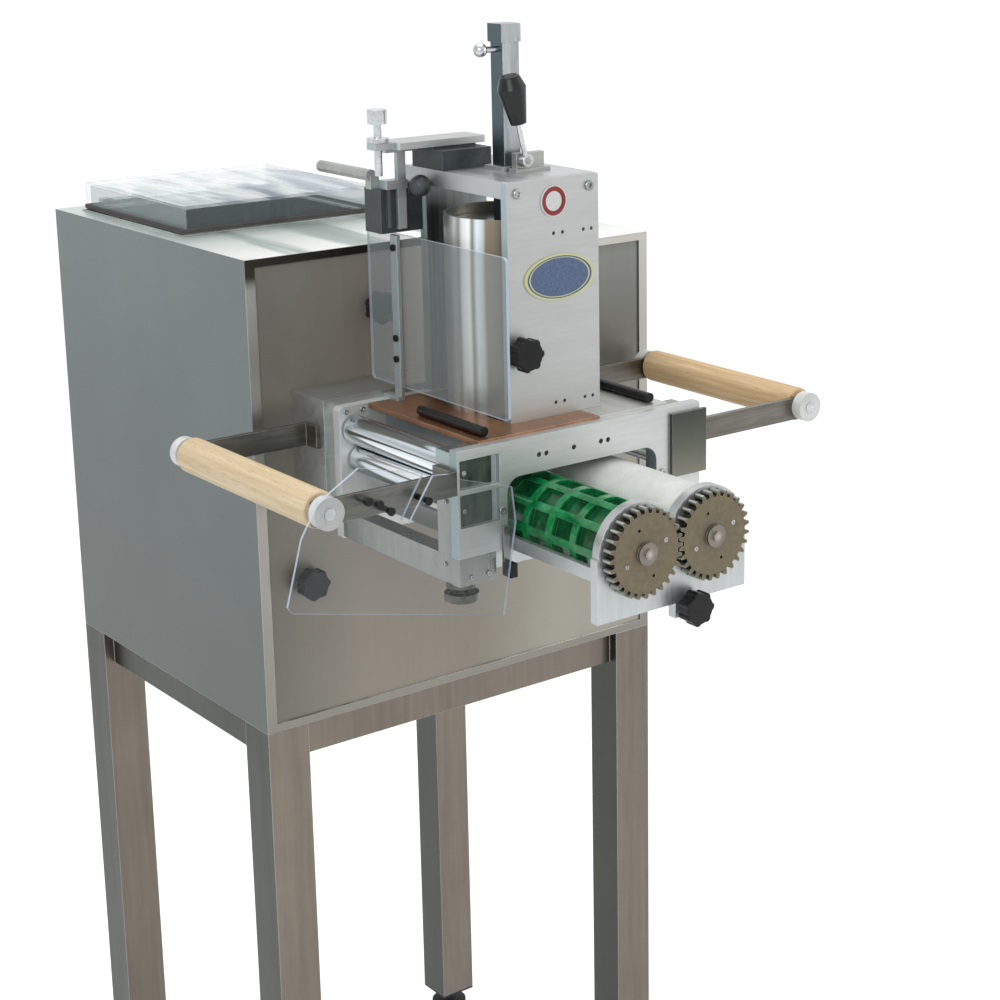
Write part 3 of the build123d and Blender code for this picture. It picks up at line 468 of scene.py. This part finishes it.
# The plate's faces turned left are painted a paler blue-grey, as painted light.
plate_aluminium = brushed("plate_aluminium", rgb(170, 172, 170), rgb(182, 184, 182), (30, 30, 400),
                          rough=(0.36, 0.5), metallic=0.75, cloud=(0.96, 1.03), strength=0.04,
                          colour=left_face_painted_light(rgb(176, 190, 194)))
milled_aluminium = brushed("milled_aluminium", rgb(174, 178, 178), rgb(196, 199, 199),
                           (160, 20, 20), rough=(0.28, 0.42), metallic=0.8, cloud=(0.93, 1.04),
                           strength=0.05)
portal_aluminium = brushed("portal_aluminium", rgb(184, 187, 186), rgb(202, 205, 203),
                           (24, 24, 300), rough=(0.32, 0.46), metallic=0.75, cloud=(0.95, 1.03),
                           colour=portal_colour, strength=0.05)
post_steel = brushed("post_steel", rgb(124, 128, 126), rgb(150, 154, 151), (60, 60, 12),
                     rough=(0.22, 0.36), colour=post_colour, cloud=(0.9, 1.06), strength=0.05)
bright_steel = brushed("bright_steel", rgb(168, 172, 174), rgb(218, 221, 222), (40, 300, 300),
                       rough=(0.12, 0.24), cloud=(0.88, 1.06))
tube_steel = brushed("tube_steel", rgb(150, 150, 142), rgb(210, 210, 204), (420, 420, 6),
                     rough=(0.3, 0.42), colour=cylinder_colour, cloud=(0.95, 1.02), strength=0.04)
roller_steel = brushed("roller_steel", rgb(150, 156, 160), rgb(222, 226, 230), (60, 4, 60),
                       rough=(0.06, 0.14), colour=roller_colour)
copper_plate = brushed("copper_plate", rgb(134, 92, 66), rgb(186, 138, 106), (300, 20, 20),
                       rough=(0.28, 0.44), metallic=0.9, colour=table_colour)
foot_steel = brushed("foot_steel", rgb(58, 58, 54), rgb(112, 112, 106), (60, 60, 60),
                     rough=(0.22, 0.36))
screw_steel = brushed("screw_steel", rgb(120, 122, 122), rgb(196, 198, 198), (300, 300, 300),
                      rough=(0.2, 0.34), edge=0.0004)


# ---------------------------------------------------------------- gears
TOOTH_FOOT, TOOTH_TIP = 0.036, 0.0446
LATHE_RINGS = 900.0


def gear_finish(name, centre):
    """Cast bronze gear face with lathe rings, darker roots and a bright steel hub."""
    g = Graph(name)
    reach = g.radius(centre)
    rings = g.add("TexNoise", noise_dimensions="1D")
    g.put(rings.inputs["W"], g.product(reach, LATHE_RINGS))
    rings.inputs["Detail"].default_value = 2.0
    patina = g.noise(160, 5.0, 0.65)
    base = g.ramp(patina, (0.32, rgb(94, 85, 67)), (0.5, rgb(110, 100, 82)),
                  (0.68, rgb(126, 117, 98)))
    zones = g.ramp(g.rise(reach, 0.0, TOOTH_TIP), (0.0, rgb(226, 222, 218)),
                   (0.1, rgb(158, 153, 150)), (0.235, rgb(136, 131, 128)), (0.25, rgb(70, 64, 56)),
                   (0.28, rgb(104, 96, 82)), (0.82, rgb(114, 105, 86)), (0.88, rgb(96, 90, 74)),
                   (1.0, rgb(128, 120, 100)))
    tooth = g.ramp(g.rise(reach, TOOTH_FOOT, TOOTH_TIP), (0.0, rgb(120, 116, 108)),
                   (0.25, rgb(46, 43, 36)), (0.6, rgb(70, 68, 60)), (1.0, rgb(176, 180, 174)))
    flank = g.fall(g.calc("ABSOLUTE", g.tilt("Y")), 0.3, 0.7)
    base = g.mix(flank, g.mix(0.5, base, zones), tooth)
    # Lighter edges on the gear: partly wear, partly painted highlight.
    base = g.mix(g.edge_wear_and_highlight(0.0009, 0.6), base, rgb(190, 184, 162))
    return g.done(Base_Color=base, Metallic=0.85, Roughness=g.over_noise(patina, 0.3, 0.5),
                  Normal=g.bump(rings.outputs[0], 0.25, 0.0003, g.bevel(0.0006)))


# ---------------------------------------------------------------- plastics and wood
# Radii of the die roller's pocket floors and of its skin.
DIE_FLOOR, DIE_SKIN = 0.0372, 0.0412

black_plastic = plastic("black_plastic", rgb(5, 5, 6), rgb(20, 20, 21), rough=(0.22, 0.36),
                        edge_wear_and_highlight_tone=rgb(52, 56, 58), specular=0.25)
grip_plastic = plastic("grip_plastic", rgb(6, 7, 7), rgb(24, 26, 27), rough=(0.2, 0.34), edge=0.0014,
                       edge_wear_and_highlight_tone=rgb(70, 76, 78), specular=0.35)
rubber_foot = plastic("rubber_foot", rgb(22, 22, 22), rgb(44, 44, 43), rough=(0.6, 0.75), edge=0.001)
slate_box = plastic("slate_box", rgb(34, 38, 40), rgb(64, 72, 74), rough=(0.34, 0.5), edge=0.001,
                    edge_wear_and_highlight_tone=rgb(140, 150, 156))
drive_paint = plastic("drive_paint", rgb(56, 66, 76), rgb(78, 90, 102), rough=(0.4, 0.55),
                      edge=0.0015, edge_wear_and_highlight_tone=rgb(130, 138, 146))
nylon = plastic("nylon", rgb(204, 205, 200), rgb(232, 232, 228), rough=(0.36, 0.5), coat=0.1)
white_plastic = plastic("white_plastic", rgb(206, 208, 202), rgb(226, 227, 222), rough=(0.42, 0.56),
                        grain=500, edge_wear_and_highlight_tone=rgb(238, 238, 234))
# A dark material standing in for the shadow in the gap under the lid's walls.
shadow_gap_band = plastic("shadow_gap_band", rgb(40, 37, 34), rgb(70, 65, 60), rough=(0.5, 0.65), edge=0.0005)


def green_roller():
    """Glossy translucent green with painted pale glints on the pocket edges and painted shade
    darkening the pocket floors.
    """
    g = Graph("green_roller")
    swirl = g.noise(60, 4.0, 0.6, distortion=0.8)
    skin = g.ramp(swirl, (0.3, rgb(2, 92, 46)), (0.5, rgb(8, 120, 62)), (0.7, rgb(34, 148, 86)))
    # Painted shade darkening the pocket floors.
    painted_floor_shade = g.ramp(swirl, (0.34, rgb(0, 62, 30)), (0.66, rgb(4, 98, 50)))
    base = g.mix(g.rise(g.radius(die_axis(-1)), DIE_FLOOR, DIE_SKIN), painted_floor_shade, skin)
    # Painted pale glints along the pocket edges.
    base = g.mix(g.edge_wear_and_highlight(0.001, 0.45), base, rgb(96, 190, 140))
    return g.done(Base_Color=base, Roughness=g.over_noise(swirl, 0.08, 0.2), Coat_Weight=0.35,
                  Coat_Roughness=0.08, Specular_IOR_Level=0.35, Subsurface_Weight=0.15,
                  Subsurface_Radius=(0.001, 0.004, 0.002), Subsurface_Scale=1.0,
                  Normal=g.bump(swirl, 0.12, 0.001, g.bevel(0.0012)))


def wood(name, dark, light):
    """Turned beech: long grain, short pores and faint turning marks."""
    g = Graph(name)
    grain = g.noise((140, 5, 140), 5.0, 0.6, distortion=0.5)
    pores = g.noise((900, 70, 900), 2.0)
    turning = g.noise((4, 420, 4), 2.0)
    base = g.ramp(grain, (0.3, dark), (0.52, halfway(dark, light)), (0.7, light))
    base = g.mix(g.remap(pores, 0.32, 0.0, 0.3, 0.42), base, rgb(150, 112, 70))
    return g.done(Base_Color=base, Roughness=g.over_noise(grain, 0.46, 0.62),
                  Normal=g.bump(g.blend(pores, turning, 0.6), 0.18, 0.0004, g.bevel(0.001)))


# ---------------------------------------------------------------- clear sheet
# The lid's walls turn milky between these heights, where they stand on the cabinet.
LID_FOOT = (1.2185, 1.2225)


def clear(name, thin_axis, haze):
    """Clear sheet: nearly invisible face on, brighter at a glance with a painted sheen, pale blue cut
    edges.
    """
    g = Graph(name)
    cut = g.fall(g.calc("ABSOLUTE", g.tilt(thin_axis)), *g.TURNED)
    smear = g.noise(14)
    # Painted sheen at a glance, with faint smears.
    glance_sheen_and_smear = g.calc("ADD", g.remap(g.glance(0.3), haze, 0.4, 0.0, 1.0),
                  g.remap(smear, 0.0, 0.03, 0.35, 0.7))
    return g.done(Base_Color=g.mix(cut, rgb(170, 178, 178), rgb(206, 220, 238)),
                  Alpha=g.calc("MAXIMUM", glance_sheen_and_smear, g.product(cut, 0.7)),
                  Roughness=g.over_noise(smear, 0.03, 0.08), Specular_IOR_Level=0.2,
                  Normal=g.bevel(0.0006))


def clear_lid():
    """Clear lid whose top carries painted glints and reflections in white and blue; its walls stay
    clear, with a painted sheen that grows at a glance.
    """
    g = Graph("clear_lid")
    up = g.turned_up()
    # Painted reflections in white and blue blocks on the lid's top.
    window_reflections = g.noise((26, 5, 2), 2.0, 0.5, distortion=0.3)
    glints = g.ramp(window_reflections, (0.36, rgb(92, 112, 146)), (0.42, rgb(150, 170, 190)),
                    (0.47, rgb(214, 226, 228)), (0.53, rgb(246, 248, 244)),
                    (0.6, rgb(196, 212, 210)), (0.68, rgb(168, 178, 176)))
    foot = g.remap(g.spot("Z"), 0.5, 0.0, *LID_FOOT)
    wall = g.calc("MAXIMUM", g.remap(g.glance(0.35), 0.06, 0.5, 0.0, 1.0), foot)
    sheet = g.mix(up, wall, g.remap(window_reflections, 0.42, 0.62, 0.35, 0.6))
    edge = g.edge_wear_and_highlight(0.0018, 0.9)
    base = g.mix(edge, g.mix(up, rgb(206, 216, 218), glints), rgb(170, 160, 158))
    return g.done(Base_Color=base, Alpha=g.calc("MAXIMUM", sheet, edge),
                  Roughness=g.over_noise(window_reflections, 0.04, 0.12), Specular_IOR_Level=0.3,
                  Normal=g.bump(window_reflections, 0.006, 0.0005, g.bevel(0.001)))


# ---------------------------------------------------------------- badge and disc
# Half the badge's width and height.
BADGE_SPANS = (0.043, 0.023)
# The disc's red ring, each edge from its start to its end.
RING_INSIDE, RING_OUTSIDE = (0.0094, 0.0100), (0.0142, 0.0147)


def oval_badge():
    """Plain blue oval with a pale rim and a thin line inside it; the face is left bare."""
    g = Graph("oval_badge")
    reach = g.radius(at(BADGE_X, 0, BADGE_HEIGHT), BADGE_SPANS)
    speck = g.noise(500)
    blue = g.ramp(speck, (0.35, rgb(58, 78, 112)), (0.65, rgb(84, 106, 140)))
    line = g.between(reach, (0.83, 0.84), (0.865, 0.875))
    border = g.calc("MAXIMUM", g.rise(reach, 0.915, 0.93), line)
    return g.done(Base_Color=g.mix(border, blue, rgb(206, 206, 150)),
                  Roughness=g.over_noise(speck, 0.3, 0.42), Coat_Weight=0.3,
                  Normal=g.bump(speck, 0.05, 0.0002))


def ring_disc():
    """Pale disc with a dark red ring; its centre is left bare."""
    g = Graph("ring_disc")
    ring = g.between(g.radius(at(0, 0, DISC_HEIGHT)), RING_INSIDE, RING_OUTSIDE)
    speck = g.noise(700, 2.0)
    pale = g.ramp(speck, (0.35, rgb(206, 206, 204)), (0.65, rgb(226, 226, 224)))
    return g.done(Base_Color=g.mix(ring, pale, rgb(136, 34, 36)),
                  Roughness=g.over_noise(speck, 0.32, 0.45), Normal=g.bump(speck, 0.04, 0.0002))


# ---------------------------------------------------------------- each node's material
dress(cabinet_steel, "cabinet_shell")
dress(panel_steel, "front_panel")
dress(leg_steel, "stand_frame")
dress(tub_steel, "dough_tub", "mixing_paddle")
dress(stainless, "lid_hinges", "mount_box", "lever_base", "sensor_rod")
dress(arm_steel, "roll_arms")
dress(post_steel, "corner_posts")
dress(mast_steel, "piston_rod")
dress(column_steel, "rear_column")
dress(plate_aluminium, "head_front_plate", "guard_strip", "adjuster_plate")
dress(pale_plate, "rear_plate")
dress(milled_aluminium, "filling_base", "head_beam", "front_end_plate", "rear_end_plate",
      "tie_bars", "cassette_rails")
dress(portal_aluminium, "portal_plate")
dress(foot_steel, "head_feet")
dress(bright_steel, "drive_shaft", "frame_bolts", "piston", "rod_pin", "clamp_lever",
      "adjuster_screw", "roll_axles")
dress(roller_steel, "feed_roller_left_upper", "feed_roller_left_lower", "feed_roller_right_upper",
      "feed_roller_right_lower")
dress(tube_steel, "filling_cylinder")
dress(copper_plate, "guide_table")
dress(gear_finish("left_gear_bronze", die_axis(-1)), "left_gear")
dress(gear_finish("right_gear_bronze", die_axis(1)), "right_gear")
dress(black_plastic, "upper_panel_knob", "lower_panel_knob", "head_knob", "cassette_knob",
      "seal_bars", "guard_screws")
dress(grip_plastic, "lever_grip")
dress(rubber_foot, "levelling_feet")
dress(slate_box, "adjuster_housing")
dress(drive_paint, "drive_unit")
dress(nylon, "roll_end_caps")
dress(white_plastic, "plain_roller")
dress(green_roller(), "die_roller")
dress(wood("right_wood", rgb(196, 158, 112), rgb(232, 204, 162)), "right_dough_roll")
dress(wood("left_wood", rgb(206, 178, 136), rgb(238, 220, 186)), "left_dough_roll")
dress(clear_lid(), "tub_lid")
dress(clear("clear_upper_guard", "X", 0.09), "upper_guard")
dress(clear("clear_lower_guard", "Y", 0.03), "lower_guard")
dress(oval_badge(), "badge")
dress(ring_disc(), "round_disc")


# ---------------------------------------------------------------- small detail pieces
def piece_from(name, shape, material, body):
    """Turns a bmesh into a finished piece that rides on a body."""
    bmesh.ops.recalc_face_normals(shape, faces=shape.faces)
    mesh = bpy.data.meshes.new(name)
    shape.to_mesh(mesh)
    shape.free()
    mesh.materials.append(material)
    piece = bpy.data.objects.new(name, mesh)
    bpy.context.collection.objects.link(piece)
    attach(piece, body)
    return piece


SCREW_STEPS = 36
SCREW_FOOT = -0.0002
# A screw's rim and socket as shares of its radius, and the socket's floor as a share of its height.
RIM_SHARE, SOCKET_SHARE, SOCKET_TAPER, FLOOR_SHARE = 0.14, 0.56, 0.96, 0.35
HEXAGON_SIDE = math.pi / 3


def hexagon_reach(angle):
    """How far a hexagon's outline lies from its centre at an angle, its corners being at 1."""
    return math.cos(HEXAGON_SIDE / 2) / math.cos((angle % HEXAGON_SIDE) - HEXAGON_SIDE / 2)


def add_screw(shape, place, facing, radius, height):
    """Cap screw with a bevelled rim and a hexagon socket, standing on place."""
    turn = Vector(facing).to_track_quat("Z", "Y").to_matrix()
    rim, socket = RIM_SHARE * radius, SOCKET_SHARE * radius
    levels = ((False, radius, SCREW_FOOT), (False, radius, height - rim),
              (False, radius - rim, height), (True, socket, height),
              (True, socket * SOCKET_TAPER, height * FLOOR_SHARE))
    rings = []
    for hexagon, reach, level in levels:
        ring = []
        for step in range(SCREW_STEPS):
            angle = 2 * math.pi * step / SCREW_STEPS
            far = reach * hexagon_reach(angle) if hexagon else reach
            spot = Vector((far * math.cos(angle), far * math.sin(angle), level))
            ring.append(shape.verts.new(place + turn @ spot))
        rings.append(ring)
    for low, high in zip(rings, rings[1:]):
        for step in range(SCREW_STEPS):
            after = (step + 1) % SCREW_STEPS
            shape.faces.new((low[step], low[after], high[after], high[step]))
    shape.faces.new(rings[0][::-1])
    shape.faces.new(rings[-1])


def screws(name, body, spots):
    """One piece of cap screws, each given by place, facing, and radius and height in millimetres."""
    shape = bmesh.new()
    for place, facing, radius, height in spots:
        add_screw(shape, place, facing, radius / 1000, height / 1000)
    return piece_from(name, shape, screw_steel, body)


FRONT, LEFT = (0, -1, 0), (-1, 0, 0)
# Screws in millimetres: how far they sit out, back and up, then their radius and height.
PORTAL_SCREW_X, PORTAL_SCREW_Z, PORTAL_SCREW = 101, 998, (4, 3)
HEAD_SCREW_X, HEAD_SCREW_Y, HEAD_SCREW_Z, HEAD_SCREW = 44, 44, 1294, (5, 2.5)
REAR_SCREW_INSETS, REAR_SCREW_Y, REAR_SCREW_Z, REAR_SCREW = (8, 28), 210, 1061.5, (3, 1.6)
POST_SCREW_R = 2.6
POST_SCREWS = ((-141, 6, 1041, FRONT, 2.2), (-141, 6, 1003, FRONT, 2.2), (-138, 0, 938, FRONT, 2),
               (-118, 0, 938, FRONT, 2), (-152, 20, 1012, LEFT, 2), (-152, 24, 948, LEFT, 2))
GEAR_SCREW_CIRCLE, GEAR_SCREW_Y, GEAR_SCREW = 25, -147.0, (2.4, 1.6)

frame_spots = []
for side in (-1, 1):
    frame_spots.append((at(side * PORTAL_SCREW_X, 0, PORTAL_SCREW_Z), FRONT, *PORTAL_SCREW))
    frame_spots.append((at(side * HEAD_SCREW_X, HEAD_SCREW_Y, HEAD_SCREW_Z), FRONT, *HEAD_SCREW))
    for inset in REAR_SCREW_INSETS:
        rear_x = side * (FRAME_HALF - inset)
        frame_spots.append((at(rear_x, REAR_SCREW_Y, REAR_SCREW_Z), FRONT, *REAR_SCREW))
frame_screws = screws("frame_cap_screws", "machine", frame_spots)
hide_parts("frame_bolts")
screws("post_cap_screws", "machine",
       [(at(x, y, z), facing, POST_SCREW_R, height) for x, y, z, facing, height in POST_SCREWS])
for side, body in ((-1, "die_shaft"), (1, "plain_shaft")):
    dots = []
    for turn in (20, 200):
        angle = math.radians(turn)
        dots.append((at(side * DIE_HALF + GEAR_SCREW_CIRCLE * math.cos(angle), GEAR_SCREW_Y,
                        DIE_HEIGHT + GEAR_SCREW_CIRCLE * math.sin(angle)), FRONT, *GEAR_SCREW))
    screws(body + "_gear_screws", body, dots)


def frame_band(name, material, body, slot_name, outer, inner, low, high):
    """Rectangular ring between two outlines of the drawing, with its edges rounded."""
    shape = bmesh.new()
    corners = []
    for (x0, x1, y0, y1), level in ((outer, low), (outer, high), (inner, high), (inner, low)):
        outline = ((x0, y0), (x1, y0), (x1, y1), (x0, y1))
        corners.append([shape.verts.new(at(x, y, level)) for x, y in outline])
    for first, second in zip(corners, corners[1:] + corners[:1]):
        for step in range(4):
            after = (step + 1) % 4
            shape.faces.new((first[step], first[after], second[after], second[step]))
    bmesh.ops.bevel(shape, geom=list(shape.edges), offset=0.0006, segments=2, profile=0.6,
                    affect="EDGES")
    return piece_from(name, shape, material, body)


# A dark band of painted shadow in the gap under the lid's walls, in millimetres: left, right, front,
# back, then its heights.
SHADOW_GAP_OUTER, SHADOW_GAP_INNER = (-188.0, 56.0, 456.0, 703.2), (-185.8, 53.8, 458.2, 701.8)
SHADOW_GAP_HEIGHTS = (1218.6, 1223.4)
frame_band("lid_shadow_gap_band", shadow_gap_band, "tub_lid_body", "black_plastic", SHADOW_GAP_OUTER, SHADOW_GAP_INNER,
           *SHADOW_GAP_HEIGHTS)


# ---------------------------------------------------------------- floor and light
FLOOR_HALF, FLOOR_GLOW = 30, 0.62
WHITE = (1, 1, 1, 1)
LIGHT_TARGET = (0, 0, 1.0)


def floor():
    """A plain pale floor that runs into the white background."""
    mesh = bpy.data.meshes.new("floor")
    shape = bmesh.new()
    for side_x, side_y in ((-1, -1), (1, -1), (1, 1), (-1, 1)):
        shape.verts.new((side_x * FLOOR_HALF, side_y * FLOOR_HALF, 0))
    shape.faces.new(shape.verts)
    shape.to_mesh(mesh)
    shape.free()
    piece = bpy.data.objects.new("floor", mesh)
    bpy.context.collection.objects.link(piece)
    g = Graph("floor_white")
    tone = g.ramp(g.noise(3, 2.0), (0.3, grey(0.80)), (0.7, grey(0.82)))
    mesh.materials.append(g.done(Base_Color=tone, Roughness=0.9, Specular_IOR_Level=0.0,
                                 Emission_Color=WHITE,
                                 Emission_Strength=g.product(g.seen(), FLOOR_GLOW)))


def sky():
    """White where it is seen, softer and a little blue where it only lights the part."""
    world = bpy.data.worlds.new("studio")
    bpy.context.scene.world = world
    world.use_nodes = True
    nodes = Nodes(world.node_tree)
    blend = nodes.add("MixShader")
    nodes.put(blend.inputs[0], nodes.seen())
    for socket, colour, strength in ((1, (0.95, 0.98, 1.0, 1), 0.55), (2, WHITE, 1.0)):
        background = nodes.add("Background")
        background.inputs["Color"].default_value = colour
        background.inputs["Strength"].default_value = strength
        nodes.put(blend.inputs[socket], background.outputs[0])
    nodes.put(nodes.add("OutputWorld").inputs["Surface"], blend.outputs[0])


def softbox(name, place, size, power, colour=(1, 1, 1)):
    """A rectangular lamp that looks at the middle of the part."""
    data = bpy.data.lights.new(name, "AREA")
    data.shape = "RECTANGLE"
    data.size, data.size_y = size
    data.energy = power
    data.color = colour
    lamp = bpy.data.objects.new(name, data)
    lamp.location = place
    way = Vector(LIGHT_TARGET) - Vector(place)
    lamp.rotation_euler = way.to_track_quat("-Z", "Y").to_euler()
    bpy.context.collection.objects.link(lamp)


floor()
sky()
softbox("window_light", (-2.6, -2.2, 2.6), (1.8, 1.8), 42, (0.96, 0.98, 1.0))
softbox("right_light", (2.8, -2.0, 2.0), (1.6, 1.8), 24, (1.0, 0.98, 0.95))
softbox("top_light", (0.2, 0.3, 3.4), (2.2, 2.2), 30)

# ---------------------------------------------------------------- camera at the photograph's place
YAW, PITCH, ROLL = math.radians(38.422), math.radians(14.188), math.radians(-0.501)
# The picture's side, its focal length and the place of its optical axis, in pixels.
PICTURE, FOCAL, AXIS = 1000, 2072.8, (600.0, 400.0)
SENSOR = 36.0
# The camera's place in the drawing, in millimetres, its height given from the head's level.
HEAD_LEVEL = 1050
EYE_X, EYE_Y, EYE_ABOVE_HEAD = -1214.7, -1558.07, 540.2

forward = Vector((math.sin(YAW) * math.cos(PITCH), math.cos(YAW) * math.cos(PITCH),
                  -math.sin(PITCH)))
level = Vector((math.cos(YAW), -math.sin(YAW), 0))
upward = level.cross(forward)
right = level * math.cos(ROLL) + upward * math.sin(ROLL)
top = upward * math.cos(ROLL) - level * math.sin(ROLL)
lens = bpy.data.cameras.new("photo_camera")
lens.sensor_width = SENSOR
lens.lens = FOCAL * SENSOR / PICTURE
lens.shift_x = (PICTURE / 2 - AXIS[0]) / PICTURE
lens.shift_y = (AXIS[1] - PICTURE / 2) / PICTURE
lens.clip_start = 0.05
lens.clip_end = 100
camera = bpy.data.objects.new("photo_camera", lens)
eye = at(EYE_X, EYE_Y, HEAD_LEVEL + EYE_ABOVE_HEAD)
turned = Matrix((right, top, -forward)).transposed().to_4x4()
camera.matrix_world = Matrix.Translation(eye) @ turned
bpy.context.collection.objects.link(camera)
bpy.context.scene.camera = camera
bpy.context.scene.view_settings.view_transform = "Standard"
